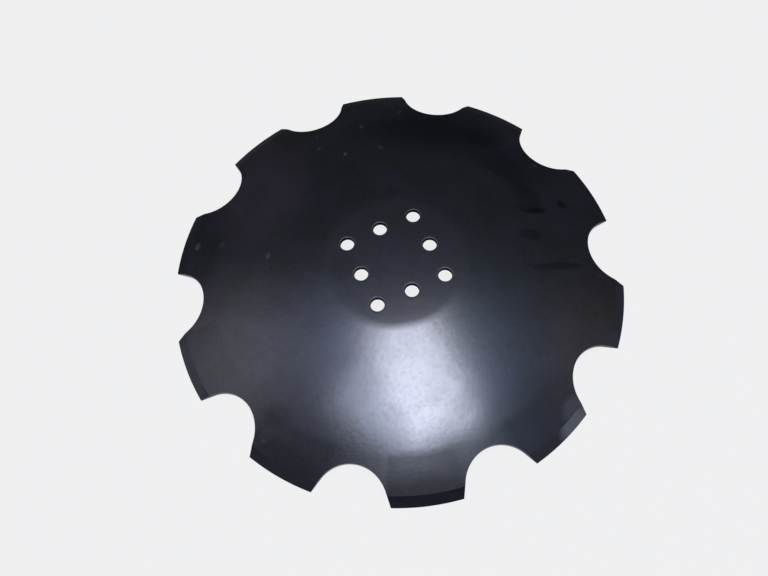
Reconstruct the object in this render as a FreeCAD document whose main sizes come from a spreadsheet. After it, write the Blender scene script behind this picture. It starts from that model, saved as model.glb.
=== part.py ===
import FreeCAD, Part
import math
import os

import Sketcher

# Notched harrow disc blade, pressed from one steel plate and lying with its hollow side down.
# The origin is on the blade's axis, in the plane that the tips of the teeth rest on.
# +Z runs up along the axis to the convex side, and +X runs through the middle of a tooth.
# All lengths are in millimetres and all angles in degrees.

NODE = "disc_blade"

SIZES = (
    ("outer_diameter", 610, "across the tips of the teeth"),
    ("plate_thickness", 6, "of the pressed plate, square to its faces"),
    ("dish_radius", 740, "of the sphere that the hollow side follows"),
    ("seat_diameter", 160, "of the flat centre that the hub clamps"),
    ("seat_bend_radius", 140, "of the bend between the flat centre and the dish, on the hollow side"),
    ("bevel_width", 12.5, "of the ground band on the teeth, measured towards the axis"),
    ("rim_land", 2, "height of the blunt edge that the bevel leaves"),
    ("notch_count", 10, "notches round the rim"),
    ("notch_depth", 44.5, "from the rim to the bottom of a notch"),
    ("notch_root_radius", 47, "of the round bottom of a notch"),
    ("notch_flank_angle", 30, "between a notch's straight side and its middle line"),
    ("holes_per_circle", 4, "bolt holes on each circle"),
    ("inner_circle_diameter", 98, "through the centres of the inner holes"),
    ("outer_circle_diameter", 135, "through the centres of the outer holes"),
    ("circle_stagger_angle", 45, "turn from an inner hole to an outer one"),
    ("hole_diameter", 18.5, "of every bolt hole"),
    ("hole_edge_break", 0.8, "of the small chamfer where a bolt hole opens on the convex side"),
)

# Which point of a sketch curve a constraint takes, and the numbers of a sketch's own origin and axes.
START, END, CENTRE = range(1, 4)
ORIGIN = (-1, 1)
HORIZONTAL_AXIS = -1
VERTICAL_AXIS = -2


def add_size_sheet(doc):
    """Spreadsheet of the driving dimensions, each cell with its name as alias."""
    sheet = doc.addObject("Spreadsheet::Sheet", "Sizes")
    for row, (name, value, meaning) in enumerate(SIZES, start=1):
        sheet.set(f"A{row}", name)
        sheet.set(f"B{row}", str(value))
        sheet.set(f"C{row}", meaning)
        sheet.setAlias(f"B{row}", name)
    doc.recompute()
    return sheet


def add_sketch(body, name, plane):
    """Sketch in the body, laid on one of the body's own origin planes."""
    sketch = body.newObject("Sketcher::SketchObject", name)
    planes = [feature for feature in body.Origin.OriginFeatures if feature.Role == plane]
    sketch.AttachmentSupport = [(planes[0], "")]
    sketch.MapMode = "FlatFace"
    return sketch


def bind(sketch, kind, places, value, formula):
    """Add a dimension to the sketch and tie it to a formula in the names of the size sheet."""
    index = sketch.addConstraint(Sketcher.Constraint(kind, *places, value))
    sketch.setExpression(f"Constraints[{index}]", formula)


def add_section_sketch(body, sheet):
    """Half of the blade's section, from its axis out to the edge of a tooth."""
    rim_radius = sheet.outer_diameter / 2
    seat_radius = sheet.seat_diameter / 2
    concave_radius = sheet.dish_radius
    convex_radius = sheet.dish_radius + sheet.plate_thickness
    bevel_inner_radius = rim_radius - sheet.bevel_width

    # Angles at the centre of the dish, from the axis.
    land_angle = math.asin(rim_radius / (concave_radius + sheet.rim_land))
    bevel_angle = math.asin(bevel_inner_radius / convex_radius)
    bend_reach = concave_radius - sheet.seat_bend_radius
    bend_angle = math.asin(seat_radius / bend_reach)

    dish_centre = FreeCAD.Vector(0, -concave_radius * math.cos(land_angle))
    bend_centre = dish_centre + FreeCAD.Vector(seat_radius, bend_reach * math.cos(bend_angle))

    def on_arc(centre, radius, angle):
        return centre + FreeCAD.Vector(radius * math.sin(angle), radius * math.cos(angle))

    def arc(centre, radius, outer_angle, inner_angle):
        circle = Part.Circle(centre, FreeCAD.Vector(0, 0, 1), radius)
        return Part.ArcOfCircle(circle, math.pi / 2 - outer_angle, math.pi / 2 - inner_angle)

    concave_seat_edge = on_arc(bend_centre, sheet.seat_bend_radius, 0)
    convex_seat_edge = on_arc(bend_centre, sheet.seat_bend_radius + sheet.plate_thickness, 0)
    concave_middle = FreeCAD.Vector(0, concave_seat_edge.y)
    convex_middle = FreeCAD.Vector(0, convex_seat_edge.y)
    rim_low = on_arc(dish_centre, concave_radius, land_angle)
    rim_high = on_arc(dish_centre, concave_radius + sheet.rim_land, land_angle)
    bevel_top = on_arc(dish_centre, convex_radius, bevel_angle)

    sketch = add_sketch(body, "section", "XZ_Plane")
    concave_seat = sketch.addGeometry(Part.LineSegment(concave_middle, concave_seat_edge))
    concave_bend = sketch.addGeometry(arc(bend_centre, sheet.seat_bend_radius, bend_angle, 0))
    concave_dish = sketch.addGeometry(arc(dish_centre, concave_radius, land_angle, bend_angle))
    land = sketch.addGeometry(Part.LineSegment(rim_low, rim_high))
    bevel = sketch.addGeometry(Part.LineSegment(rim_high, bevel_top))
    convex_dish = sketch.addGeometry(arc(dish_centre, convex_radius, bevel_angle, bend_angle))
    convex_bend = sketch.addGeometry(
        arc(bend_centre, sheet.seat_bend_radius + sheet.plate_thickness, bend_angle, 0)
    )
    convex_seat = sketch.addGeometry(Part.LineSegment(convex_seat_edge, convex_middle))
    axis = sketch.addGeometry(Part.LineSegment(convex_middle, concave_middle))

    sketch.addConstraint([
        Sketcher.Constraint("Tangent", concave_seat, END, concave_bend, END),
        Sketcher.Constraint("Tangent", concave_bend, START, concave_dish, END),
        Sketcher.Constraint("Coincident", concave_dish, START, land, START),
        Sketcher.Constraint("Coincident", land, END, bevel, START),
        Sketcher.Constraint("Coincident", bevel, END, convex_dish, START),
        Sketcher.Constraint("Tangent", convex_dish, END, convex_bend, START),
        Sketcher.Constraint("Tangent", convex_bend, END, convex_seat, START),
        Sketcher.Constraint("Coincident", convex_seat, END, axis, START),
        Sketcher.Constraint("Coincident", axis, END, concave_seat, START),
        Sketcher.Constraint("Horizontal", concave_seat),
        Sketcher.Constraint("Horizontal", convex_seat),
        Sketcher.Constraint("Vertical", axis),
        Sketcher.Constraint("PointOnObject", concave_seat, START, VERTICAL_AXIS),
        Sketcher.Constraint("PointOnObject", concave_dish, CENTRE, VERTICAL_AXIS),
        Sketcher.Constraint("PointOnObject", concave_dish, START, HORIZONTAL_AXIS),
        Sketcher.Constraint("PointOnObject", concave_dish, CENTRE, land),
        Sketcher.Constraint("Coincident", convex_dish, CENTRE, concave_dish, CENTRE),
        Sketcher.Constraint("Coincident", convex_bend, CENTRE, concave_bend, CENTRE),
    ])
    bind(sketch, "Radius", (concave_dish,), concave_radius, "Sizes.dish_radius")
    bind(sketch, "Radius", (convex_dish,), convex_radius, "Sizes.dish_radius + Sizes.plate_thickness")
    bind(sketch, "Radius", (concave_bend,), sheet.seat_bend_radius, "Sizes.seat_bend_radius")
    bind(sketch, "Distance", (land,), sheet.rim_land, "Sizes.rim_land")
    bind(sketch, "DistanceX", (*ORIGIN, concave_seat, END), seat_radius, "Sizes.seat_diameter / 2")
    bind(sketch, "DistanceX", (*ORIGIN, land, END), rim_radius, "Sizes.outer_diameter / 2")
    bind(sketch, "DistanceX", (bevel, END, bevel, START), sheet.bevel_width, "Sizes.bevel_width")
    return sketch


def add_notch_sketch(body, sheet):
    """Outline of the notch on +Y: a round bottom and two straight sides, open past the rim."""
    rim_radius = sheet.outer_diameter / 2
    root_radius = sheet.notch_root_radius
    flank_angle = math.radians(sheet.notch_flank_angle)
    root_centre_height = rim_radius - sheet.notch_depth + root_radius
    mouth_height = rim_radius + sheet.notch_depth / 2
    flank_foot = FreeCAD.Vector(
        root_radius * math.cos(flank_angle), root_centre_height - root_radius * math.sin(flank_angle)
    )
    mouth_half_width = flank_foot.x + (mouth_height - flank_foot.y) * math.tan(flank_angle)
    mouth_right = FreeCAD.Vector(mouth_half_width, mouth_height)
    mouth_left = FreeCAD.Vector(-mouth_half_width, mouth_height)

    sketch = add_sketch(body, "notch", "XY_Plane")
    circle = Part.Circle(FreeCAD.Vector(0, root_centre_height), FreeCAD.Vector(0, 0, 1), root_radius)
    root = sketch.addGeometry(Part.ArcOfCircle(circle, math.pi + flank_angle, 2 * math.pi - flank_angle))
    right_flank = sketch.addGeometry(Part.LineSegment(flank_foot, mouth_right))
    mouth = sketch.addGeometry(Part.LineSegment(mouth_right, mouth_left))
    left_flank = sketch.addGeometry(
        Part.LineSegment(mouth_left, FreeCAD.Vector(-flank_foot.x, flank_foot.y))
    )

    sketch.addConstraint([
        Sketcher.Constraint("Tangent", root, END, right_flank, START),
        Sketcher.Constraint("Coincident", right_flank, END, mouth, START),
        Sketcher.Constraint("Coincident", mouth, END, left_flank, START),
        Sketcher.Constraint("Tangent", left_flank, END, root, START),
        Sketcher.Constraint("Horizontal", mouth),
        Sketcher.Constraint("Equal", right_flank, left_flank),
        Sketcher.Constraint("PointOnObject", root, CENTRE, VERTICAL_AXIS),
    ])
    bind(sketch, "Radius", (root,), root_radius, "Sizes.notch_root_radius")
    bind(sketch, "Angle", (right_flank,), math.pi / 2 - flank_angle, "90 deg - Sizes.notch_flank_angle * 1 deg")
    bind(
        sketch, "DistanceY", (*ORIGIN, root, CENTRE), root_centre_height,
        "Sizes.outer_diameter / 2 - Sizes.notch_depth + Sizes.notch_root_radius",
    )
    bind(
        sketch, "DistanceY", (*ORIGIN, mouth, START), mouth_height,
        "Sizes.outer_diameter / 2 + Sizes.notch_depth / 2",
    )
    return sketch


def add_hole_sketch(body, sheet, name, circle_size, turn_formula, turn):
    """One bolt hole on its circle, at a turn from +X."""
    angle = math.radians(turn)
    reach = getattr(sheet, circle_size) / 2
    place = FreeCAD.Vector(reach * math.cos(angle), reach * math.sin(angle))
    radius = sheet.hole_diameter / 2

    sketch = add_sketch(body, name, "XY_Plane")
    hole = sketch.addGeometry(Part.Circle(place, FreeCAD.Vector(0, 0, 1), radius))
    spoke = sketch.addGeometry(Part.LineSegment(FreeCAD.Vector(), place), True)
    sketch.addConstraint([
        Sketcher.Constraint("Coincident", spoke, START, *ORIGIN),
        Sketcher.Constraint("Coincident", spoke, END, hole, CENTRE),
    ])
    bind(sketch, "Radius", (hole,), radius, "Sizes.hole_diameter / 2")
    bind(sketch, "Distance", (spoke,), reach, f"Sizes.{circle_size} / 2")
    bind(sketch, "Angle", (spoke,), angle, turn_formula)
    return sketch


def add_revolution(body, name, sketch):
    """Full turn of a sketch about its own vertical axis."""
    revolution = body.newObject("PartDesign::Revolution", name)
    revolution.Profile = sketch
    revolution.ReferenceAxis = (sketch, ["V_Axis"])
    revolution.Angle = 360
    return revolution


def add_cut_round_the_axis(body, name, sketch, count_formula):
    """Cut of a sketch right through the plate, repeated evenly round the blade's axis."""
    cut = body.newObject("PartDesign::Pocket", name)
    cut.Profile = sketch
    cut.Type = "ThroughAll"
    cut.SideType = "Symmetric"
    body.Document.recompute()

    pattern = body.newObject("PartDesign::PolarPattern", f"{name}_round")
    pattern.Originals = [cut]
    pattern.Axis = (sketch, ["N_Axis"])
    pattern.Angle = 360
    pattern.setExpression("Occurrences", count_formula)
    body.Tip = pattern
    body.Document.recompute()
    return cut, pattern


def convex_hole_mouths(shape, hole_radius):
    """Names of the edges where the bolt holes open on the convex side."""
    walls = [
        face for face in shape.Faces
        if isinstance(face.Surface, Part.Cylinder) and math.isclose(face.Surface.Radius, hole_radius)
    ]
    mouths = [
        edge for wall in walls for edge in wall.Edges
        if not isinstance(edge.Curve, Part.Line) and edge.CenterOfMass.z > wall.CenterOfMass.z
    ]
    return [
        f"Edge{number}" for number, edge in enumerate(shape.Edges, start=1)
        if any(edge.isSame(mouth) for mouth in mouths)
    ]


def add_broken_edges(body, base, sheet):
    """Small chamfer round every bolt hole, on the convex side."""
    chamfer = body.newObject("PartDesign::Chamfer", "broken_edges")
    chamfer.Base = (base, convex_hole_mouths(base.Shape, sheet.hole_diameter / 2))
    chamfer.setExpression("Size", "Sizes.hole_edge_break")
    return chamfer


def add_disc_blade(doc, sheet):
    """The whole blade, and its features in the order in which they take material away."""
    body = doc.addObject("PartDesign::Body", NODE)
    body.Label = NODE
    body.Placement = FreeCAD.Placement(FreeCAD.Vector(0, 0, 0), FreeCAD.Rotation())

    blank = add_revolution(body, "dished_blank", add_section_sketch(body, sheet))
    doc.recompute()
    notch, notches = add_cut_round_the_axis(
        body, "notch_cut", add_notch_sketch(body, sheet), "Sizes.notch_count"
    )
    inner_sketch = add_hole_sketch(body, sheet, "inner_hole", "inner_circle_diameter", "0 deg", 0)
    inner_hole, inner_holes = add_cut_round_the_axis(
        body, "inner_hole_cut", inner_sketch, "Sizes.holes_per_circle"
    )
    outer_sketch = add_hole_sketch(
        body, sheet, "outer_hole", "outer_circle_diameter",
        "Sizes.circle_stagger_angle * 1 deg", sheet.circle_stagger_angle,
    )
    outer_hole, outer_holes = add_cut_round_the_axis(
        body, "outer_hole_cut", outer_sketch, "Sizes.holes_per_circle"
    )
    broken_edges = add_broken_edges(body, outer_holes, sheet)
    body.Tip = broken_edges
    doc.recompute()
    return body, [
        blank, notch, notches, inner_hole, inner_holes, outer_hole, outer_holes, broken_edges
    ]


def check_document(doc):
    """Stop if any object of the document failed to compute."""
    for item in doc.Objects:
        if "Invalid" in item.State or "Error" in item.State:
            raise RuntimeError(f"{item.Name} failed: {item.State}")


def check_sketches(doc):
    """Stop if a sketch is left with a freedom or with a constraint too many."""
    for sketch in doc.findObjects("Sketcher::SketchObject"):
        if not sketch.FullyConstrained or sketch.solve() != 0:
            raise RuntimeError(f"sketch {sketch.Name} isn't fully constrained")


def check_cuts(features):
    """Stop if a feature took no material away from the one before it."""
    for before, after in zip(features, features[1:]):
        if after.Shape.Volume >= before.Shape.Volume:
            raise RuntimeError(f"{after.Name} cuts nothing")


def check_blade(body):
    """Stop unless the blade is one sound solid."""
    shape = body.Shape
    if shape.isNull() or not shape.isValid() or len(shape.Solids) != 1:
        raise RuntimeError(f"{body.Label} isn't one valid solid")


def main():
    doc = FreeCAD.newDocument("HarrowDiscBlade")
    sheet = add_size_sheet(doc)
    body, features = add_disc_blade(doc, sheet)
    check_document(doc)
    check_sketches(doc)
    check_cuts(features)
    check_blade(body)
    os.makedirs("parts", exist_ok=True)
    body.Shape.exportStep(f"parts/{body.Label}.step")
    box = body.Shape.BoundBox
    print(f"{body.Label}: {box.XLength:.2f} x {box.YLength:.2f} x {box.ZLength:.2f} mm, "
          f"volume {body.Shape.Volume:.0f} mm3, lowest point at {box.ZMin:.4f} mm")


main()
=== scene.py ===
"""Looks of a harrow disc blade: a pressed steel disc with a notched rim, painted satin black.

The blade lies with its hollow side down. Its axis is the Z axis, and the tips of its teeth rest on
the floor at height 0. Sizes are written in millimetres, and Blender works in metres.
"""

from __future__ import annotations

import logging
import math
from collections.abc import Callable, Sequence
from dataclasses import dataclass
from enum import Enum

import bmesh
import bpy
from mathutils import Matrix, Vector

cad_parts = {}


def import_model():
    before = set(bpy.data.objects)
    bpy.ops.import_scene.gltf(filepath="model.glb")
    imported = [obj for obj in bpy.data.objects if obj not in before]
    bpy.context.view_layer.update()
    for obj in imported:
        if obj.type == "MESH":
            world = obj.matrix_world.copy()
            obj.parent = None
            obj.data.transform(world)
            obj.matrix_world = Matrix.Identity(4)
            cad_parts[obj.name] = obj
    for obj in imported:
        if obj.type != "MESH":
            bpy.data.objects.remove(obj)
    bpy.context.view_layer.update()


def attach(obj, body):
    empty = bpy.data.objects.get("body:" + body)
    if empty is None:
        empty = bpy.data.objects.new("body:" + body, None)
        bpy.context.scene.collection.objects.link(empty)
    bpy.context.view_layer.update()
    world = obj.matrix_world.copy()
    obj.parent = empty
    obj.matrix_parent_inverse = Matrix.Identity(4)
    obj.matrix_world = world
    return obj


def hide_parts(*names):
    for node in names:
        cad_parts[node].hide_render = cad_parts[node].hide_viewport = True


Tree = bpy.types.NodeTree
Socket = bpy.types.NodeSocket

LOG = logging.getLogger("disc_blade")

CAD_NODE = "disc_blade"
CAD_BODY = "root"

MM = 0.001
# Distance in metres under which two places count as the same.
NEAR = 1e-5
# Colour sockets of the Mix node, by number, because its other sockets share their names.
MIX_BELOW, MIX_ABOVE, MIX_RESULT = 6, 7, 2
# Values between which a noise pattern nearly always stays, and the one in their middle.
NOISE_LOW, NOISE_MIDDLE, NOISE_HIGH = 0.25, 0.5, 0.75
# A mark is whole up to the first share of its length and width, and fades out up to the second.
MARK_WHOLE_TO, MARK_ENDS_AT = 0.45, 1.35
# Reach of a mark up and down in metres, so great that height makes no difference to it.
MARK_DEPTH = 100.0
# Place that the lamps face, in millimetres.
LAMP_TARGET = (-60.0, -150.0, 50.0)


def linear(hex_colour: str) -> tuple[float, float, float, float]:
    """Turn an sRGB colour into the linear one that Blender's sockets take.

    Args:
        hex_colour: The colour as "#rrggbb".

    Returns:
        Red, green, blue and an alpha of 1.
    """
    shares = [int(hex_colour[place:place + 2], 16) / 255 for place in (1, 3, 5)]
    red, green, blue = [
        share / 12.92 if share <= 0.04045 else ((share + 0.055) / 1.055) ** 2.4 for share in shares
    ]
    return red, green, blue, 1.0


def add_node(
    tree: Tree, kind: str, inputs: dict[str | int, object] | None = None, **settings: object,
) -> bpy.types.Node:
    """Add a node to a material or world, with its settings and its inputs.

    Args:
        tree: The node tree.
        kind: The node's type without the "ShaderNode" in front.
        inputs: Value or output socket for each input, by the input's name or number.
        **settings: The node's own properties.

    Returns:
        The new node.
    """
    node = tree.nodes.new(f"ShaderNode{kind}")
    for name, value in settings.items():
        setattr(node, name, value)
    for place, value in (inputs or {}).items():
        if isinstance(value, Socket):
            tree.links.new(value, node.inputs[place])
        else:
            node.inputs[place].default_value = value
    return node


def new_material(name: str) -> tuple[bpy.types.Material, Tree]:
    """Start a material.

    Args:
        name: The material's name.

    Returns:
        The material and its node tree, which is empty.
    """
    material = bpy.data.materials.new(name)
    material.use_nodes = True
    material.node_tree.nodes.clear()
    return material, material.node_tree


@dataclass(frozen=True)
class Mark:
    """Soft oval mark on the paint, seen along the blade's axis.

    Its length and width are measured from its middle, in millimetres, and its turn is in degrees.
    """

    x: float
    y: float
    length: float
    width: float
    turn: float
    strength: float

    def mask(self, tree: Tree, place: Socket) -> Socket:
        """Add the nodes that say how strongly the mark covers a place.

        Args:
            tree: The material's node tree.
            place: The place on the blade, in metres.

        Returns:
            The strength, from 0 outside the mark to its own strength in the middle.
        """
        inside = add_node(tree, "Mapping", {
            "Vector": place,
            "Location": (self.x * MM, self.y * MM, 0.0),
            "Rotation": (0.0, 0.0, math.radians(self.turn)),
            "Scale": (self.length * MM, self.width * MM, MARK_DEPTH),
        }, vector_type="TEXTURE")
        reach = add_node(tree, "VectorMath", {0: inside.outputs["Vector"]}, operation="LENGTH")
        return add_node(tree, "MapRange", {
            "Value": reach.outputs["Value"], "From Min": MARK_ENDS_AT, "From Max": MARK_WHOLE_TO,
            "To Min": 0.0, "To Max": self.strength,
        }, interpolation_type="SMOOTHSTEP").outputs["Result"]


def cover(tree: Tree, place: Socket, marks: tuple[Mark, ...]) -> Socket | float:
    """Add the nodes that say how strongly any of some marks covers a place.

    Args:
        tree: The material's node tree.
        place: The place on the blade, in metres.
        marks: The marks.

    Returns:
        The strength of the strongest mark there.
    """
    strongest = 0.0
    for mark in marks:
        strongest = add_node(tree, "Math", {
            0: mark.mask(tree, place), 1: strongest,
        }, operation="MAXIMUM").outputs[0]
    return strongest


def stretched_outward(tree: Tree, place: Socket, count: float, length: float) -> Socket:
    """Stretch a place outward from the axis, so that noise on it makes strokes that run outward.

    Args:
        tree: The material's node tree.
        place: The place on the blade, in metres.
        count: How many strokes lie side by side in one radian round the axis.
        length: Length of a stroke, in millimetres.

    Returns:
        The stretched place.
    """
    across = add_node(tree, "VectorMath", {
        0: place, 1: (1.0, 1.0, 0.0),
    }, operation="MULTIPLY").outputs["Vector"]
    radius = add_node(tree, "VectorMath", {0: across}, operation="LENGTH").outputs["Value"]
    heading = add_node(tree, "VectorMath", {0: across}, operation="NORMALIZE").outputs["Vector"]
    outward = add_node(tree, "Math", {0: radius, 1: 1 / (length * MM)}, operation="MULTIPLY")
    outward = add_node(tree, "CombineXYZ", {"Z": outward.outputs[0]}).outputs["Vector"]
    return add_node(tree, "VectorMath", {
        0: heading, 1: (count,) * 3, 2: outward,
    }, operation="MULTIPLY_ADD").outputs["Vector"]


@dataclass(frozen=True)
class BlackDipPaint:
    """Satin black paint, dipped and stoved on hot-rolled steel plate.

    The dip leaves a thin even film. It gives the eye one broad soft highlight with a fine orange
    peel in it, and a cloudy black elsewhere. Its lighter violet places are painted light, and its
    darker teal places painted shade. Handling has worn a few places and left dust spots; some of
    the darker places are painted shade, and one broad pale spot is a painted reflection. The
    orange peel is drawn a little coarser than a real one, which wouldn't show.

    Sizes and heights are in millimetres. A wipe is a low broad streak that runs outward, and
    wipe_count of them lie side by side in one radian.
    """

    name: str = "black_dip_paint"
    body_colour: str = "#19181a"
    cool_colour: str = "#17191b"
    warm_colour: str = "#181817"
    # The violet colour is painted light, and the teal one painted shade, each with a tint.
    violet_painted_light_colour: str = "#232023"
    teal_painted_shade_colour: str = "#0c1011"
    # This near-black colour covers worn paint and painted shade alike.
    wear_and_shade_colour: str = "#040405"
    # This pale colour is dust, and in one broad spot a painted reflection.
    dust_and_reflection_colour: str = "#3a3b3e"
    ior: float = 1.6
    roughness: float = 0.235
    roughness_spread: float = 0.012
    wear_and_shade_roughness: float = 0.12
    dull_share: float = 0.24
    dull_size: float = 5.5
    cloud_size: float = 95.0
    patch_size: float = 42.0
    peel_size: float = 4.5
    peel_height: float = 0.055
    ripple_size: float = 24.0
    ripple_height: float = 0.08
    wipe_count: float = 16.0
    wipe_size: float = 90.0
    wipe_height: float = 0.03
    ragged_size: float = 9.0
    raggedness: float = 5.0
    # Values of the noise between which a pattern fades in, for soft patches and for sparse ones.
    soft_range: tuple[float, float] = (0.34, 0.66)
    sparse_range: tuple[float, float] = (0.46, 0.7)
    # Lighter places with a violet tint: painted light.
    violet_painted_light_places: tuple[Mark, ...] = (
        Mark(-120.5, 184.1, 67.7, 83.8, -34, 0.9),
        Mark(-222.5, 58.3, 56.8, 61.4, -32, 0.35),
        Mark(-102.1, 273.2, 33.0, 32.2, 15, 0.6),
    )
    # Darker places with a teal tint: painted shade on the far side of the blade.
    teal_painted_shade_places: tuple[Mark, ...] = (
        Mark(141.7, 188.6, 122.3, 54.7, -31, 0.9),
        Mark(225.1, 72.0, 57.1, 41.2, -71, 0.4),
        Mark(65.8, 261.8, 50.6, 31.0, -29, 0.7),
    )
    # Partly worn paint, partly painted shade, such as the broad mark on the nearest tooth.
    wear_and_shade_places: tuple[Mark, ...] = (
        Mark(204.7, -5.3, 16.5, 4.6, -17, 0.48),
        Mark(200.9, 1.9, 21.4, 8.4, -17, 0.2),
        Mark(246.7, -6.1, 8.1, 5.0, -68, 0.42),
        Mark(179.3, -36.2, 16.7, 7.8, -18, 0.26),
        Mark(189.5, -89.5, 39.6, 5.9, -17, 0.3),
        Mark(196.8, -90.4, 15.5, 4.4, -17, 0.35),
        Mark(199.1, 136.6, 30.0, 24.0, -32, 0.28),
        Mark(204.7, 30.8, 36.5, 14.0, -75, 0.18),
        Mark(196.5, 84.8, 48.0, 28.0, -65, 0.18),
        Mark(-216.6, -114.9, 22.0, 15.0, -28, 0.2),
        Mark(-218.3, -185.9, 30.0, 18.0, -45, 0.25),
        Mark(160.3, 193.2, 70.0, 38.0, -39, 0.2),
        Mark(-92.1, -283.4, 34.0, 100.0, 72, 0.62),
        Mark(-65.4, 17.8, 22.0, 21.3, -26, 0.28),
        Mark(-232.0, -165.0, 20.0, 50.0, 36, 0.28),
    )
    # Dust specks; the last, broad spot is a painted reflection beside the palest bevel.
    dust_and_reflection_spots: tuple[Mark, ...] = (
        Mark(50.8, 229.7, 2.5, 3.9, -30, 0.42),
        Mark(-12.8, 244.4, 2.2, 3.2, -35, 0.35),
        Mark(-19.5, 218.6, 2.6, 3.6, -34, 0.35),
        Mark(8.9, 188.9, 2.7, 3.7, -31, 0.63),
        Mark(57.8, 177.2, 5.8, 3.2, -76, 0.24),
        Mark(-230.6, 159.6, 4.8, 5.4, -38, 0.56),
        Mark(-198.2, 139.2, 4.5, 4.7, -36, 0.21),
        Mark(-147.8, 84.8, 3.0, 4.9, -32, 0.42),
        Mark(-245.3, -134.1, 2.8, 2.5, -28, 0.35),
        Mark(67.1, -190.2, 2.5, 1.9, -85, 0.35),
        Mark(113.9, 235.1, 2.7, 4.4, -27, 0.28),
        Mark(245.7, 64.4, 5.0, 1.5, -50, 0.42),
        Mark(176.6, 71.8, 5.3, 0.9, 32, 0.28),
        Mark(121.5, -259.5, 20.0, 11.0, -153, 0.5),
    )

    def make(self) -> bpy.types.Material:
        """Build the material.

        Returns:
            The finished material.
        """
        material, tree = new_material(self.name)
        place = add_node(tree, "TexCoord").outputs["Object"]
        ragged = self.ragged_place(tree, place)
        patterns = self.patterns(tree, place)
        shares = {}
        for name, (low, high) in (
            ("clouds", self.soft_range), ("patches", self.soft_range),
            ("dulling", self.sparse_range),
        ):
            shares[name] = add_node(tree, "MapRange", {
                "Value": patterns[name], "From Min": low, "From Max": high,
            }, interpolation_type="SMOOTHSTEP").outputs["Result"]
        # Worn places and painted shade: both darken the colour and dim the shine.
        wear_and_shade = cover(tree, ragged, self.wear_and_shade_places)
        uneven = add_node(tree, "MapRange", {
            "Value": patterns["patches"], "From Min": NOISE_LOW, "From Max": NOISE_HIGH,
            "To Min": self.roughness - self.roughness_spread,
            "To Max": self.roughness + self.roughness_spread,
        })
        roughness = add_node(tree, "Math", {
            0: wear_and_shade, 1: self.wear_and_shade_roughness, 2: uneven.outputs["Result"],
        }, operation="MULTIPLY_ADD")
        shader = add_node(tree, "BsdfPrincipled", {
            "Base Color": self.colour(tree, ragged, shares, wear_and_shade),
            "Metallic": self.dullness(tree, shares, wear_and_shade),
            "Roughness": roughness.outputs[0], "IOR": self.ior,
            "Normal": self.relief(tree, patterns),
        })
        add_node(tree, "OutputMaterial", {"Surface": shader.outputs["BSDF"]})
        return material

    def ragged_place(self, tree: Tree, place: Socket) -> Socket:
        """Shift a place to and fro a little, so that the edges of marks on it turn out uneven.

        Args:
            tree: The material's node tree.
            place: The place on the blade, in metres.

        Returns:
            The shifted place.
        """
        noise = add_node(tree, "TexNoise", {
            "Vector": place, "Scale": 1 / (self.ragged_size * MM), "Detail": 2.0,
        })
        shift = add_node(tree, "VectorMath", {
            0: noise.outputs["Color"], 1: (NOISE_MIDDLE,) * 3,
        }, operation="SUBTRACT").outputs["Vector"]
        return add_node(tree, "VectorMath", {
            0: shift, 1: (self.raggedness * MM,) * 3, 2: place,
        }, operation="MULTIPLY_ADD").outputs["Vector"]

    def patterns(self, tree: Tree, place: Socket) -> dict[str, Socket]:
        """Add the noise patterns that the colour and the relief are made of.

        Args:
            tree: The material's node tree.
            place: The place on the blade, in metres.

        Returns:
            The value of each pattern there, by the pattern's name.
        """
        wiped = stretched_outward(tree, place, self.wipe_count, self.wipe_size)
        return {
            name: add_node(tree, "TexNoise", {
                "Vector": vector, "Scale": scale, "Detail": detail,
            }).outputs["Fac"]
            for name, vector, scale, detail in (
                ("clouds", place, 1 / (self.cloud_size * MM), 1.5),
                ("patches", place, 1 / (self.patch_size * MM), 2.0),
                ("dulling", place, 1 / (self.dull_size * MM), 3.0),
                ("ripple", place, 1 / (self.ripple_size * MM), 2.0),
                ("peel", place, 1 / (self.peel_size * MM), 2.0),
                ("wipes", wiped, 1.0, 1.5),
            )
        }

    def colour(
        self, tree: Tree, ragged: Socket, shares: dict[str, Socket], wear_and_shade: Socket,
    ) -> Socket:
        """Lay the patches, marks, painted light and shade and dust over the black of the paint.

        Args:
            tree: The material's node tree.
            ragged: The place on the blade, shifted to and fro.
            shares: How strongly each pattern shows, by the pattern's name.
            wear_and_shade: How strongly worn paint and painted shade cover the place.

        Returns:
            The colour.
        """
        colour = linear(self.body_colour)
        for share, layer_colour in (
            (shares["clouds"], self.cool_colour),
            (shares["patches"], self.warm_colour),
            (cover(tree, ragged, self.violet_painted_light_places), self.violet_painted_light_colour),
            (cover(tree, ragged, self.teal_painted_shade_places), self.teal_painted_shade_colour),
            (wear_and_shade, self.wear_and_shade_colour),
            (cover(tree, ragged, self.dust_and_reflection_spots), self.dust_and_reflection_colour),
        ):
            colour = add_node(tree, "Mix", {
                "Factor": share, MIX_BELOW: colour, MIX_ABOVE: linear(layer_colour),
            }, data_type="RGBA").outputs[MIX_RESULT]
        return colour

    def dullness(self, tree: Tree, shares: dict[str, Socket], wear_and_shade: Socket) -> Socket:
        """Work out how much of its shine the paint has lost.

        It goes into the shader's Metallic. A metal reflects its own colour only, which is nearly
        black here, so the more metallic the paint is, the less of the highlight it shows.

        Args:
            tree: The material's node tree.
            shares: How strongly each pattern shows, by the pattern's name.
            wear_and_shade: How strongly worn paint and painted shade cover the place; both dim the
                shine.

        Returns:
            The share of the shine that is gone.
        """
        shine = add_node(tree, "Math", {0: 1.0, 1: wear_and_shade}, operation="SUBTRACT").outputs[0]
        for name in ("dulling", "patches"):
            left = add_node(tree, "Math", {
                0: shares[name], 1: -self.dull_share / 2, 2: 1.0,
            }, operation="MULTIPLY_ADD").outputs[0]
            shine = add_node(tree, "Math", {0: shine, 1: left}, operation="MULTIPLY").outputs[0]
        return add_node(tree, "Math", {0: 1.0, 1: shine}, operation="SUBTRACT").outputs[0]

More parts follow.
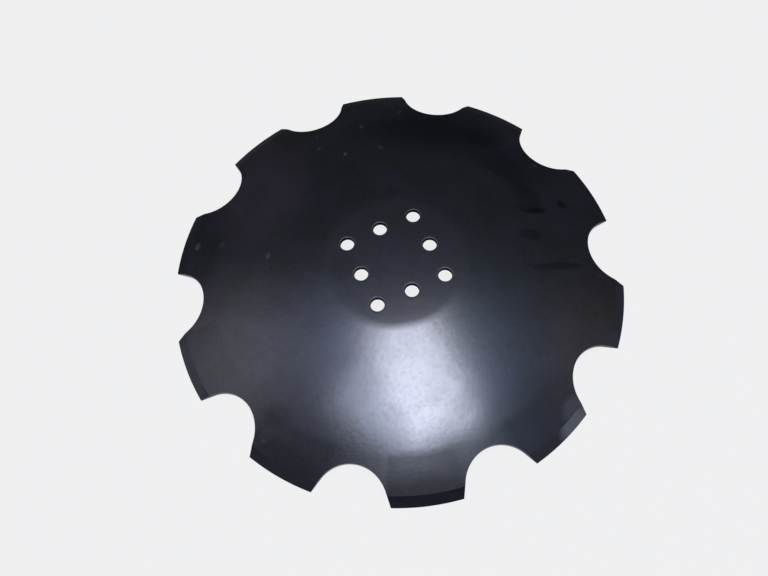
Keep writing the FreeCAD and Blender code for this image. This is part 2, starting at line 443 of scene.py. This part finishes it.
    def relief(self, tree: Tree, patterns: dict[str, Socket]) -> Socket:
        """Raise the ripples, the wipes and the orange peel.

        Args:
            tree: The material's node tree.
            patterns: The value of each pattern, by the pattern's name.

        Returns:
            The surface normal.
        """
        normal = add_node(tree, "NewGeometry").outputs["Normal"]
        for name, height in (
            ("ripple", self.ripple_height), ("wipes", self.wipe_height),
            ("peel", self.peel_height),
        ):
            normal = add_node(tree, "Bump", {
                "Height": patterns[name], "Distance": height * MM, "Strength": 1.0,
                "Normal": normal,
            }).outputs["Normal"]
        return normal


@dataclass(frozen=True)
class MattPaint:
    """The same paint over steel that was ground or punched, where it lies thin and stays matt.

    On the bevel the eye sees faint strokes across it, left by the grinding wheel. They are drawn
    about twice as coarse as real ones, which wouldn't show. Its dark places are painted shade, and
    its pale places painted reflections.
    """

    name: str = "matt_bevel_paint"
    colour: str = "#131315"
    thin_colour: str = "#1b1b1e"
    # The darkest colour is painted shade, and the palest one a painted reflection.
    painted_shade_colour: str = "#08080a"
    painted_reflection_colour: str = "#4c4d4c"
    roughness: float = 0.6
    specular_level: float = 0.03
    patch_size: float = 9.0
    grind_count: float = 100.0
    grind_length: float = 30.0
    grind_height: float = 0.06
    painted_shade_places: tuple[Mark, ...] = ()
    painted_reflection_places: tuple[Mark, ...] = ()

    def make(self) -> bpy.types.Material:
        """Build the material.

        Returns:
            The finished material.
        """
        material, tree = new_material(self.name)
        place = add_node(tree, "TexCoord").outputs["Object"]
        patches = add_node(tree, "TexNoise", {
            "Vector": place, "Scale": 1 / (self.patch_size * MM), "Detail": 3.0,
        })
        colour = linear(self.colour)
        for share, layer_colour in (
            (patches.outputs["Fac"], self.thin_colour),
            (cover(tree, place, self.painted_shade_places), self.painted_shade_colour),
            (cover(tree, place, self.painted_reflection_places), self.painted_reflection_colour),
        ):
            colour = add_node(tree, "Mix", {
                "Factor": share, MIX_BELOW: colour, MIX_ABOVE: linear(layer_colour),
            }, data_type="RGBA").outputs[MIX_RESULT]
        ground = stretched_outward(tree, place, self.grind_count, self.grind_length)
        grinding = add_node(tree, "TexNoise", {"Vector": ground, "Scale": 1.0, "Detail": 2.0})
        strokes = add_node(tree, "Bump", {
            "Height": grinding.outputs["Fac"], "Distance": self.grind_height * MM,
            "Strength": 1.0,
        })
        shader = add_node(tree, "BsdfPrincipled", {
            "Base Color": colour, "Roughness": self.roughness,
            "Specular IOR Level": self.specular_level, "Normal": strokes.outputs["Normal"],
        })
        add_node(tree, "OutputMaterial", {"Surface": shader.outputs["BSDF"]})
        return material


class MeshPart(Enum):
    """What a mesh is made of, by Blender's name for it as a select mode and as a list."""

    VERT = "verts"
    EDGE = "edges"
    FACE = "faces"


def select(
    piece: bpy.types.Object, kind: MeshPart, wanted: Callable[[bmesh.types.BMElem], bool],
) -> None:
    """Select parts of a mesh in edit mode, and nothing else.

    Args:
        piece: The object in edit mode.
        kind: Whether points, edges or faces are selected.
        wanted: Function of a part that says whether it is selected.
    """
    bpy.ops.mesh.select_all(action="DESELECT")
    bpy.ops.mesh.select_mode(type=kind.name)
    mesh = bmesh.from_edit_mesh(piece.data)
    for part in getattr(mesh, kind.value):
        part.select = wanted(part)
    mesh.select_flush_mode()
    bmesh.update_edit_mesh(piece.data)


def select_near(piece: bpy.types.Object, middle: Vector, reach: float = NEAR) -> None:
    """Select the points round a place of a mesh in edit mode.

    Args:
        piece: The object in edit mode.
        middle: The place.
        reach: How far round it points are selected, in metres.
    """
    select(piece, MeshPart.VERT, lambda point: (point.co - middle).length < reach)


def shrink_to(share: float, middle: Sequence[float] = (0, 0, 0)) -> None:
    """Scale the selected points of a mesh in edit mode along the floor.

    Args:
        share: The new size as a share of the old one.
        middle: The place that they move towards.
    """
    bpy.ops.transform.resize(value=(share, share, 1), center_override=middle)


class Surface(Enum):
    """The two faces of the plate."""

    CONVEX = "convex"
    CONCAVE = "concave"


class Finish(Enum):
    """The finishes on the plate, each with the number of its material."""

    BODY = 0
    BEVEL = 1
    HOLE_WALL = 2
    HOLE_MOUTH = 3


@dataclass
class DiscPlate:
    """The whole blade: one dished plate with a seat, bolt holes, notches and a ground bevel."""

    name: str = "disc_plate"
    outer_diameter: float = 610.0
    thickness: float = 6.0
    dish_radius: float = 740.0
    seat_diameter: float = 160.0
    seat_bend_radius: float = 140.0
    # The seat bulges very slightly, and this is its slope at its edge.
    seat_crown_angle: float = math.radians(2.6)
    bevel_width: float = 12.5
    rim_land: float = 2.0
    notch_count: int = 10
    notch_depth: float = 44.5
    notch_root_radius: float = 47.0
    notch_flank_angle: float = math.radians(30)
    hole_diameter: float = 18.2
    # Diameter of each circle of holes, and the turn of its first hole.
    hole_circles: tuple[tuple[float, float], ...] = ((98.0, 0.0), (135.0, math.radians(45)))
    holes_per_circle: int = 4
    # The punch has drawn in the convex side round each hole.
    mouth_width: float = 2.4
    mouth_depth: float = 0.7
    # At most: the narrow faces round the holes hold it to about a third of this.
    edge_rounding: float = 0.3

    # How finely the plate is divided into faces.
    root_steps: int = 120
    flank_steps: int = 2
    tooth_steps: int = 24
    bevel_cuts: int = 2
    ring_below_notches: float = 250.0
    dish_ring_spacing: float = 10.0
    bend_rings: int = 14
    seat_ring_inset: float = 0.4
    seat_cut_spacing: float = 9.0
    # Share of the spacing that keeps the cuts clear of the middles of the holes.
    seat_cut_shift: float = 0.1
    hole_steps: int = 48
    mouth_rings: tuple[float, ...] = (0.78, 0.56, 0.36, 0.18, 0.05, 0.0)
    rounding_segments: int = 2
    sharp_angle: float = math.radians(14)
    smooth_angle: float = math.radians(40)

    # Upward part of a face's normal, by which the finishes are told apart: the bevel has more than
    # the first, the wall of a hole less than the second, and its mouth less than the third.
    bevel_rise: float = 0.1
    wall_rise: float = 0.88
    mouth_rise: float = 0.998

    finish: BlackDipPaint = BlackDipPaint()
    # Dark places on the far teeth are painted shade, and pale places painted reflections.
    bevel_finish: MattPaint = MattPaint(
        painted_shade_places=(
            Mark(128.0, 262.4, 203.3, 133.4, -17, 0.75),
            Mark(294.2, 45.3, 83.6, 130.8, -67, 0.5),
        ),
        painted_reflection_places=(
            Mark(115.6, -277.2, 26.9, 15.7, -153, 0.95),
            Mark(72.3, -290.1, 20.0, 40.0, -76, 0.15),
            Mark(-299.0, 0.0, 20.0, 60.0, 0, 0.38),
            Mark(-92.4, 284.4, 20.0, 60.0, 108, 0.1),
            Mark(-241.9, -175.7, 20.0, 60.0, 36, 0.08),
            Mark(241.9, -175.7, 20.0, 60.0, -36, 0.12),
            Mark(215.0, -208.0, 20.0, 24.0, -44, 0.2),
        ),
    )
    # The walls of the holes are painted near-black as painted shade, which makes a black crescent.
    wall_painted_shade: MattPaint = MattPaint(
        name="hole_wall_paint", colour="#070708", thin_colour="#0b0b0c", roughness=0.8,
    )
    # The drawn-in mouth is smooth, so it catches a thin grey glint round the hole.
    mouth_finish: MattPaint = MattPaint(
        name="hole_mouth_paint", colour="#17171a", thin_colour="#1b1b1f", roughness=0.5,
        specular_level=0.4,
    )

    def __post_init__(self) -> None:
        """Work out the radii, angles and heights of the section from its sizes."""
        self.rim_radius = self.outer_diameter / 2
        self.seat_radius = self.seat_diameter / 2
        self.bevel_radius = self.rim_radius - self.bevel_width
        self.mouth_radius = self.hole_diameter / 2 + self.mouth_width
        self.pitch = 2 * math.pi / self.notch_count
        self.root_centre = self.rim_radius - self.notch_depth + self.notch_root_radius
        convex_radius = self.dish_radius + self.thickness
        land_radius = self.dish_radius + self.rim_land
        land_angle = math.asin(self.rim_radius / land_radius)
        self.concave_rim_radius = self.dish_radius * math.sin(land_angle)
        self.dish_centre_height = -self.dish_radius * math.cos(land_angle)
        self.rim_top_height = self.dish_centre_height + land_radius * math.cos(land_angle)
        self.bevel_top_height = (
            self.dish_centre_height + math.sqrt(convex_radius ** 2 - self.bevel_radius ** 2)
        )
        bend_reach = self.dish_radius - self.seat_bend_radius
        self.bend_angle = math.asin(self.seat_radius / bend_reach)
        self.bend_centre_height = (
            self.dish_centre_height + bend_reach * math.cos(self.bend_angle)
        )

    def height(self, radius: float, surface: Surface) -> float:
        """Height of one face of the plate.

        Args:
            radius: Distance from the blade's axis.
            surface: The face.

        Returns:
            The height over the floor, in millimetres.
        """
        offset = self.thickness if surface is Surface.CONVEX else 0.0
        dish = self.dish_radius + offset
        bend = self.seat_bend_radius + offset
        crown_edge = self.seat_radius + bend * math.sin(self.seat_crown_angle)
        if radius <= crown_edge:
            crown = crown_edge / math.sin(self.seat_crown_angle)
            rise = math.sqrt(crown ** 2 - radius ** 2) - crown * math.cos(self.seat_crown_angle)
            return self.bend_centre_height + bend * math.cos(self.seat_crown_angle) + rise
        if radius <= dish * math.sin(self.bend_angle):
            return self.bend_centre_height + math.sqrt(
                bend ** 2 - (radius - self.seat_radius) ** 2
            )
        if surface is Surface.CONVEX and radius > self.bevel_radius:
            share = (radius - self.bevel_radius) / self.bevel_width
            return self.bevel_top_height + share * (self.rim_top_height - self.bevel_top_height)
        return self.dish_centre_height + math.sqrt(dish ** 2 - radius ** 2)

    def flank_place(self, radius: float) -> tuple[float, float]:
        """Point where the straight side of the notch on +Y reaches a radius.

        Args:
            radius: Distance from the blade's axis.

        Returns:
            Its X and Y on the side of +X, in millimetres.
        """
        along_x, along_y = math.sin(self.notch_flank_angle), math.cos(self.notch_flank_angle)
        foot_x = self.notch_root_radius * along_y
        foot_y = self.root_centre - self.notch_root_radius * along_x
        half_way = foot_x * along_x + foot_y * along_y
        travel = math.sqrt(half_way ** 2 + radius ** 2 - foot_x ** 2 - foot_y ** 2) - half_way
        return foot_x + travel * along_x, foot_y + travel * along_y

    def build(self) -> bpy.types.Object:
        """Model and dress the plate, hang it on the body and hide the CAD part it stands in for.

        Returns:
            The finished piece.
        """
        plate = self.notch_edge()
        self.close_the_outline(plate)
        self.add_rings_to_the_seat(plate)
        self.fill_the_seat(plate)
        self.add_bevel_band(plate)
        self.give_it_thickness(plate)
        self.break_the_edges(plate)
        self.shade(plate)
        self.paint(plate)
        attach(plate, CAD_BODY)
        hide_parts(CAD_NODE)
        return plate

    def notch_edge(self) -> bpy.types.Object:
        """Draw the edge of the notch on +Y, up to where the bevel starts.

        Returns:
            The new object, left in edit mode.
        """
        bpy.ops.object.select_all(action="DESELECT")
        bpy.ops.mesh.primitive_circle_add(
            vertices=self.root_steps, radius=self.notch_root_radius * MM,
            location=(0, self.root_centre * MM, 0),
        )
        plate = bpy.context.active_object
        plate.name = plate.data.name = self.name
        bpy.ops.object.transform_apply()
        bpy.ops.object.mode_set(mode="EDIT")
        foot_x = self.notch_root_radius * math.cos(self.notch_flank_angle) * MM
        foot_y = (
            self.root_centre - self.notch_root_radius * math.sin(self.notch_flank_angle)
        ) * MM
        select(plate, MeshPart.VERT, lambda point: point.co.y > foot_y + NEAR)
        bpy.ops.mesh.delete(type="VERT")
        bevel_x, bevel_y = self.flank_place(self.bevel_radius)
        for side in (1, -1):
            step = Vector((side * (bevel_x * MM - foot_x), bevel_y * MM - foot_y, 0))
            select_near(plate, Vector((side * foot_x, foot_y, 0)))
            for _ in range(self.flank_steps):
                bpy.ops.mesh.extrude_region_move(
                    TRANSFORM_OT_translate={"value": step / self.flank_steps},
                )
        return plate

    def close_the_outline(self, plate: bpy.types.Object) -> None:
        """Add the inner edge of the bevel on a tooth, and repeat the pair round the blade.

        Args:
            plate: The object in edit mode.
        """
        bevel_x, bevel_y = self.flank_place(self.bevel_radius)
        select_near(plate, Vector((bevel_x * MM, bevel_y * MM, 0)))
        bpy.ops.mesh.spin(
            steps=self.tooth_steps, angle=self.pitch - 2 * math.atan2(bevel_x, bevel_y),
            center=(0, 0, 0), axis=(0, 0, 1),
        )
        bpy.ops.mesh.select_all(action="SELECT")
        bpy.ops.mesh.spin(
            steps=self.notch_count - 1, angle=self.pitch * (self.notch_count - 1), dupli=True,
            center=(0, 0, 0), axis=(0, 0, 1),
        )
        bpy.ops.mesh.select_all(action="SELECT")
        bpy.ops.mesh.remove_doubles(threshold=NEAR)

    def add_rings_to_the_seat(self, plate: bpy.types.Object) -> None:
        """Run rings of faces from the outline in to the seat, close together at the bend.

        Args:
            plate: The object in edit mode.
        """
        bpy.ops.mesh.select_all(action="SELECT")
        bpy.ops.mesh.extrude_region_move()
        bpy.ops.transform.tosphere(value=1.0, center_override=(0, 0, 0))
        mesh = bmesh.from_edit_mesh(plate.data)
        radius = max(point.co.length for point in mesh.verts if point.select)
        shrink_to(self.ring_below_notches * MM / radius)
        bend_edge = (self.dish_radius + self.thickness) * math.sin(self.bend_angle)
        dish_width = bend_edge - self.ring_below_notches
        bend_width = self.seat_radius - bend_edge
        dish_rings = round(-dish_width / self.dish_ring_spacing)
        rings = [
            self.ring_below_notches + dish_width * ring / dish_rings
            for ring in range(dish_rings + 1)
        ]
        rings += [
            bend_edge + bend_width * ring / self.bend_rings
            for ring in range(1, self.bend_rings + 1)
        ]
        rings.append(self.seat_radius - self.seat_ring_inset)
        for outer, inner in zip(rings, rings[1:]):
            bpy.ops.mesh.extrude_region_move()
            shrink_to(inner / outer)

    def fill_the_seat(self, plate: bpy.types.Object) -> None:
        """Set out the bolt holes and fill the seat round them.

        Args:
            plate: The object in edit mode.
        """
        for middle in self.hole_middles():
            bpy.ops.mesh.primitive_circle_add(
                vertices=self.hole_steps, radius=self.mouth_radius * MM, location=middle,
            )
        inside = (self.seat_radius - self.seat_ring_inset / 2) * MM
        select_near(plate, Vector((0, 0, 0)), inside)
        bpy.ops.mesh.fill(use_beauty=True)
        self.cut_up_the_seat(plate)
        for middle in self.hole_middles():
            select_near(plate, middle, self.mouth_radius * MM + NEAR)
            radius = self.mouth_radius
            for share in self.mouth_rings:
                next_radius = self.hole_diameter / 2 + share * self.mouth_width
                bpy.ops.mesh.extrude_region_move()
                shrink_to(next_radius / radius, middle)
                radius = next_radius

    def cut_up_the_seat(self, plate: bpy.types.Object) -> None:
        """Cut the seat's fill into small faces, so that it follows the seat's slight crown.

        Args:
            plate: The object in edit mode.
        """
        inside = (self.seat_radius - self.seat_ring_inset) * MM
        cuts = math.floor(self.seat_radius / self.seat_cut_spacing)
        for across in (Vector((1, 0, 0)), Vector((0, 1, 0))):
            for number in range(-cuts, cuts + 1):
                select(
                    plate, MeshPart.FACE,
                    lambda face: face.calc_center_median().length < inside,
                )
                distance = (number + self.seat_cut_shift) * self.seat_cut_spacing * MM
                bpy.ops.mesh.bisect(plane_co=across * distance, plane_no=across)

    def hole_middles(self) -> list[Vector]:
        """Middles of the bolt holes.

        Returns:
            Their places at height 0, in metres.
        """
        step = 2 * math.pi / self.holes_per_circle
        return [
            Vector((math.cos(turn + number * step), math.sin(turn + number * step), 0))
            * circle / 2 * MM
            for circle, turn in self.hole_circles for number in range(self.holes_per_circle)
        ]

    def mouth_drop(self, place: Vector) -> float:
        """Depth to which the punch has drawn in the convex side next to a hole.

        Args:
            place: A point of the plate, in metres.

        Returns:
            The depth, in millimetres.
        """
        if place.xy.length > self.seat_radius * MM:
            return 0.0
        nearest = min((place.xy - middle.xy).length for middle in self.hole_middles()) / MM
        share = min(1.0, max(0.0, (nearest - self.hole_diameter / 2) / self.mouth_width))
        return self.mouth_depth * (1 - math.sqrt(1 - (1 - share) ** 2))

    def add_bevel_band(self, plate: bpy.types.Object) -> None:
        """Run the band of the ground bevel from the teeth's inner arcs out to the rim.

        Args:
            plate: The object in edit mode.
        """
        arc = self.bevel_radius * MM - NEAR
        select(plate, MeshPart.EDGE, lambda edge: all(end.co.length > arc for end in edge.verts))
        bpy.ops.mesh.extrude_region_move()
        shrink_to(self.rim_radius / self.bevel_radius)
        mesh = bmesh.from_edit_mesh(plate.data)
        rim_points = [point for point in mesh.verts if point.select]
        self.fit_to_the_teeth(rim_points, self.bevel_radius, self.rim_radius)
        bmesh.update_edit_mesh(plate.data)
        half_way = (self.bevel_radius + self.rim_radius) / 2 * MM
        select(
            plate, MeshPart.EDGE,
            lambda edge: min(end.co.length for end in edge.verts) < half_way
            < max(end.co.length for end in edge.verts),
        )
        bpy.ops.mesh.subdivide_edgering(number_cuts=self.bevel_cuts, interpolation="LINEAR")

    def fit_to_the_teeth(
        self, points: list[bmesh.types.BMVert], old_radius: float, new_radius: float,
    ) -> None:
        """Move points to another radius, spread evenly between the notches beside their tooth.

        Args:
            points: The points, all at the old radius.
            old_radius: The radius that they come from, in millimetres.
            new_radius: The radius that they are given, in millimetres.
        """
        old_half, new_half = [
            self.pitch / 2 - math.atan2(*self.flank_place(radius))
            for radius in (old_radius, new_radius)
        ]
        for point in points:
            angle = math.atan2(point.co.y, point.co.x)
            middle = round(angle / self.pitch) * self.pitch
            angle = middle + (angle - middle) * new_half / old_half
            point.co.x = new_radius * MM * math.cos(angle)
            point.co.y = new_radius * MM * math.sin(angle)

    def give_it_thickness(self, plate: bpy.types.Object) -> None:
        """Dish the sheet, and draw it down into the hollow side.

        Args:
            plate: The object in edit mode.
        """
        bpy.ops.mesh.select_all(action="SELECT")
        self.dish(plate, Surface.CONVEX)
        bpy.ops.mesh.extrude_region_move()
        self.dish(plate, Surface.CONCAVE)
        bpy.ops.mesh.select_all(action="SELECT")
        bpy.ops.mesh.normals_make_consistent(inside=False)

    def dish(self, plate: bpy.types.Object, surface: Surface) -> None:
        """Lay the selected points on one face of the plate.

        Args:
            plate: The object in edit mode.
            surface: The face.
        """
        mesh = bmesh.from_edit_mesh(plate.data)
        points = [point for point in mesh.verts if point.select]
        if surface is Surface.CONCAVE:
            rim = self.rim_radius * MM - NEAR
            tips = [point for point in points if point.co.xy.length > rim]
            self.fit_to_the_teeth(tips, self.rim_radius, self.concave_rim_radius)
        for point in points:
            height = self.height(point.co.xy.length / MM, surface)
            if surface is Surface.CONVEX:
                height -= self.mouth_drop(point.co)
            point.co.z = height * MM
        bmesh.update_edit_mesh(plate.data)

    def break_the_edges(self, plate: bpy.types.Object) -> None:
        """Round every sharp edge a little, but leave the mouths' folds near the seat's middle.

        Args:
            plate: The object in edit mode.
        """
        mouth_top = (self.height(0, Surface.CONVEX) - self.mouth_depth) * MM
        bpy.ops.mesh.select_all(action="DESELECT")
        bpy.ops.mesh.edges_select_sharp(sharpness=self.sharp_angle)
        mesh = bmesh.from_edit_mesh(plate.data)
        for edge in mesh.edges:
            if edge.select and min(point.co.z for point in edge.verts) > mouth_top + NEAR:
                edge.select = False
        bmesh.update_edit_mesh(plate.data)
        bpy.ops.mesh.bevel(
            offset=self.edge_rounding * MM, segments=self.rounding_segments, affect="EDGES",
            clamp_overlap=True,
        )

    def shade(self, plate: bpy.types.Object) -> None:
        """Leave edit mode with smooth shading that the large faces lead.

        Args:
            plate: The object in edit mode.
        """
        bpy.ops.object.mode_set(mode="OBJECT")
        bpy.ops.object.shade_smooth_by_angle(angle=self.smooth_angle)
        bpy.ops.object.modifier_add(type="WEIGHTED_NORMAL")
        bpy.ops.object.modifier_apply(modifier=plate.modifiers[0].name)

    def paint(self, plate: bpy.types.Object) -> None:
        """Paint the bevel and hole mouths matt, the hole walls as painted shade, the rest satin.

        Args:
            plate: The finished shape.
        """
        finishes = {
            Finish.BODY: self.finish, Finish.BEVEL: self.bevel_finish,
            Finish.HOLE_WALL: self.wall_painted_shade, Finish.HOLE_MOUTH: self.mouth_finish,
        }
        plate.data.materials.clear()
        for kind in Finish:
            plate.data.materials.append(finishes[kind].make())
        for face in plate.data.polygons:
            face.material_index = self.finish_of(face).value

    def finish_of(self, face: bpy.types.MeshPolygon) -> Finish:
        """Tell which finish a face has.

        Args:
            face: A face of the plate.

        Returns:
            The finish.
        """
        reach, rise = face.center.xy.length / MM, face.normal.z
        if reach > self.bevel_radius and rise > self.bevel_rise:
            return Finish.BEVEL
        if reach >= self.seat_radius:
            return Finish.BODY
        if abs(rise) < self.wall_rise:
            return Finish.HOLE_WALL
        if 0.0 < rise < self.mouth_rise:
            return Finish.HOLE_MOUTH
        return Finish.BODY


@dataclass(frozen=True)
class PaleStudioFloor:
    """Smooth pale board that the blade lies on.

    It glows for the camera, so that it stays as plain as paper. In reflections it glows less.
    """

    name: str = "studio_floor"
    size: float = 60.0
    glow_colour: str = "#f7f7f7"
    board_colour: str = "#8c8c8c"
    glow_share: float = 0.89
    glow_in_reflections: float = 0.4

    def make(self) -> bpy.types.Object:
        """Lay the floor and give it its colour.

        Returns:
            The floor, marked as stage.
        """
        bpy.ops.object.select_all(action="DESELECT")
        bpy.ops.mesh.primitive_plane_add(size=self.size, location=(0, 0, 0))
        floor = bpy.context.active_object
        floor.name = floor.data.name = self.name
        material, tree = new_material(self.name)
        paths = add_node(tree, "LightPath").outputs
        share = paths["Is Glossy Ray"]
        for other, operation in (
            (paths["Is Transmission Ray"], "MAXIMUM"), (self.glow_in_reflections, "MULTIPLY"),
            (paths["Is Camera Ray"], "MAXIMUM"), (self.glow_share, "MULTIPLY"),
        ):
            share = add_node(tree, "Math", {0: share, 1: other}, operation=operation).outputs[0]
        board = add_node(tree, "BsdfDiffuse", {"Color": linear(self.board_colour)})
        glow = add_node(tree, "Emission", {"Color": linear(self.glow_colour), "Strength": 1.0})
        mixed = add_node(tree, "MixShader", {
            0: share, 1: board.outputs["BSDF"], 2: glow.outputs["Emission"],
        })
        add_node(tree, "OutputMaterial", {"Surface": mixed.outputs["Shader"]})
        floor.data.materials.append(material)
        return floor


@dataclass(frozen=True)
class PhotographsCamera:
    """Camera that sees the blade as the photograph does, with its angles in radians.

    The aim is the place of the blade's origin in the camera's own frame, in millimetres.
    """

    focal_pixels: float = 813.19
    image_width: float = 768.0
    sensor_width: float = 36.0
    tilt: float = 0.420
    roll: float = 0.104
    turn: float = 0.3361593
    aim: tuple[float, float, float] = (17.914, 10.418, -1113.0)

    def make(self) -> bpy.types.Object:
        """Set up the camera and make it the scene's.

        Returns:
            The camera.
        """
        into_camera = (
            Matrix.Rotation(self.roll, 3, "Z") @ Matrix.Rotation(-self.tilt, 3, "X")
            @ Matrix.Rotation(self.turn, 3, "Z")
        )
        data = bpy.data.cameras.new("camera")
        data.sensor_width = self.sensor_width
        data.lens = self.sensor_width * self.focal_pixels / self.image_width
        camera = bpy.data.objects.new("camera", data)
        bpy.context.scene.collection.objects.link(camera)
        turned = into_camera.transposed()
        place = -(turned @ Vector(self.aim)) * MM
        camera.matrix_world = Matrix.Translation(place) @ turned.to_4x4()
        bpy.context.scene.camera = camera
        return camera


def direction_from(camera: bpy.types.Object, right: float, up: float) -> Vector:
    """Direction that is so far to the right of the line back to the camera and above it.

    Args:
        camera: The camera.
        right: Angle to the camera's right, in degrees.
        up: Angle above the camera, in degrees.

    Returns:
        The direction in the blade's frame, away from the blade.
    """
    across, along = math.radians(right), math.radians(up)
    return camera.matrix_world.to_3x3() @ Vector((
        math.sin(across), math.cos(across) * math.sin(along), math.cos(across) * math.cos(along),
    ))


@dataclass(frozen=True)
class SoftLamp:
    """Lamp behind a rectangular diffuser, set by what the middle of the picture sees of it.

    Its place, width, height and turn are angles in degrees, and its distance is in metres.
    """

    name: str
    right: float
    up: float
    width: float
    height: float
    turn: float
    brightness: float
    colour: str
    distance: float = 6.0

    def make(self, camera: bpy.types.Object, target: Vector) -> bpy.types.Object:
        """Hang the lamp so that it faces the blade.

        Args:
            camera: The camera that the angles are measured from.
            target: The point that the lamp faces.

        Returns:
            The lamp.
        """
        toward = direction_from(camera, self.right, self.up)
        data = bpy.data.lights.new(self.name, "AREA")
        data.shape = "RECTANGLE"
        data.size = 2 * self.distance * math.tan(math.radians(self.width / 2))
        data.size_y = 2 * self.distance * math.tan(math.radians(self.height / 2))
        data.energy = self.brightness * math.pi * data.size * data.size_y
        data.color = linear(self.colour)[:3]
        lamp = bpy.data.objects.new(self.name, data)
        bpy.context.scene.collection.objects.link(lamp)
        up = toward.cross(camera.matrix_world.to_3x3() @ Vector((1, 0, 0))).normalized()
        up.rotate(Matrix.Rotation(math.radians(self.turn), 3, toward))
        right = up.cross(toward).normalized()
        lamp.matrix_world = (
            Matrix.Translation(target + toward * self.distance)
            @ Matrix((right, up, toward)).transposed().to_4x4()
        )
        lamp.visible_camera = False
        return lamp


@dataclass(frozen=True)
class RoomGlow:
    """Pale wall or window in the room that fades out round its middle."""

    right: float
    up: float
    colour: str
    brightness: float
    sharpness: float = 30.0


@dataclass(frozen=True)
class DimRoom:
    """Room round the blade.

    It is nearly dark, with a pale wall on each side of the camera and bluish light by the lamps.
    Behind the floor the camera sees a pale backdrop.
    """

    name: str = "dim_room"
    wall_colour: str = "#d6dffc"
    darkness: float = 0.002
    glows: tuple[RoomGlow, ...] = (
        RoomGlow(right=-45.0, up=26.0, colour="#ebe8fc", brightness=1.88),
        RoomGlow(right=-15.0, up=26.0, colour="#b6c7ff", brightness=2.35),
        RoomGlow(right=15.0, up=26.0, colour="#b5d3ff", brightness=1.09),
        RoomGlow(right=15.0, up=11.0, colour="#73a5ff", brightness=1.0),
        RoomGlow(right=45.0, up=26.0, colour="#ffebf8", brightness=0.52),
    )
    backdrop_colour: str = "#efefef"
    backdrop_height: float = 0.03
    backdrop_in_reflections: float = 0.4

    def make(self, camera: bpy.types.Object) -> bpy.types.World:
        """Set the world.

        Args:
            camera: The camera that the glows' angles are measured from.

        Returns:
            The world.
        """
        world = bpy.data.worlds.new(self.name)
        bpy.context.scene.world = world
        world.use_nodes = True
        tree = world.node_tree
        tree.nodes.clear()
        place = add_node(tree, "TexCoord").outputs["Generated"]
        room = add_node(tree, "Background", {
            "Color": self.light(tree, place, camera), "Strength": 1.0,
        })
        backdrop = add_node(tree, "Background", {
            "Color": linear(self.backdrop_colour), "Strength": 1.0,
        })
        mixed = add_node(tree, "MixShader", {
            0: self.backdrop_share(tree, place),
            1: room.outputs["Background"], 2: backdrop.outputs["Background"],
        })
        add_node(tree, "OutputWorld", {"Surface": mixed.outputs["Shader"]})
        return world

    def light(self, tree: Tree, place: Socket, camera: bpy.types.Object) -> Socket:
        """Add up the light of the walls and the glows.

        Args:
            tree: The world's node tree.
            place: The direction in which the room is seen.
            camera: The camera that the glows' angles are measured from.

        Returns:
            The light from that direction.
        """
        light = [self.darkness * share for share in linear(self.wall_colour)[:3]]
        for glow in self.glows:
            toward = direction_from(camera, glow.right, glow.up)
            facing = add_node(tree, "VectorMath", {0: place, 1: toward}, operation="DOT_PRODUCT")
            fading = add_node(tree, "Math", {
                0: facing.outputs["Value"], 1: glow.sharpness, 2: -glow.sharpness,
            }, operation="MULTIPLY_ADD")
            faded = add_node(tree, "Math", {0: fading.outputs[0]}, operation="EXPONENT")
            colour = [glow.brightness * share for share in linear(glow.colour)[:3]]
            light = add_node(tree, "VectorMath", {
                0: faded.outputs[0], 1: colour, 2: light,
            }, operation="MULTIPLY_ADD").outputs["Vector"]
        return light

    def backdrop_share(self, tree: Tree, place: Socket) -> Socket:
        """Say where the backdrop is seen: by the camera, and weakly in low reflections.

        Args:
            tree: The world's node tree.
            place: The direction in which the room is seen.

        Returns:
            The backdrop's share of what is seen.
        """
        height = add_node(tree, "SeparateXYZ", {0: place})
        paths = add_node(tree, "LightPath").outputs
        share = height.outputs["Z"]
        for other, operation in (
            (self.backdrop_height, "LESS_THAN"), (paths["Is Glossy Ray"], "MULTIPLY"),
            (self.backdrop_in_reflections, "MULTIPLY"), (paths["Is Camera Ray"], "MAXIMUM"),
            (paths["Is Transmission Ray"], "MAXIMUM"),
        ):
            share = add_node(tree, "Math", {0: share, 1: other}, operation=operation).outputs[0]
        return share


def main() -> None:
    """Build the blade and its studio."""
    logging.basicConfig(level=logging.INFO, format="%(message)s")
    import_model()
    blade = DiscPlate().build()
    LOG.info("%s has %d faces", blade.name, len(blade.data.polygons))
    PaleStudioFloor().make()
    camera = PhotographsCamera().make()
    lamps = (
        SoftLamp(
            "ceiling_light", right=2.8, up=18.31, width=19.0, height=34.4, turn=23.23,
            brightness=17.7, colour="#e9edff",
        ),
        SoftLamp(
            "second_light", right=-6.56, up=8.01, width=26.3, height=14.85, turn=-37.16,
            brightness=9.2, colour="#d8e1ff",
        ),
    )
    for lamp in lamps:
        lamp.make(camera, Vector(LAMP_TARGET) * MM)
    DimRoom().make(camera)
    bpy.context.scene.view_settings.view_transform = "Standard"


if __name__ == "__main__":
    main()
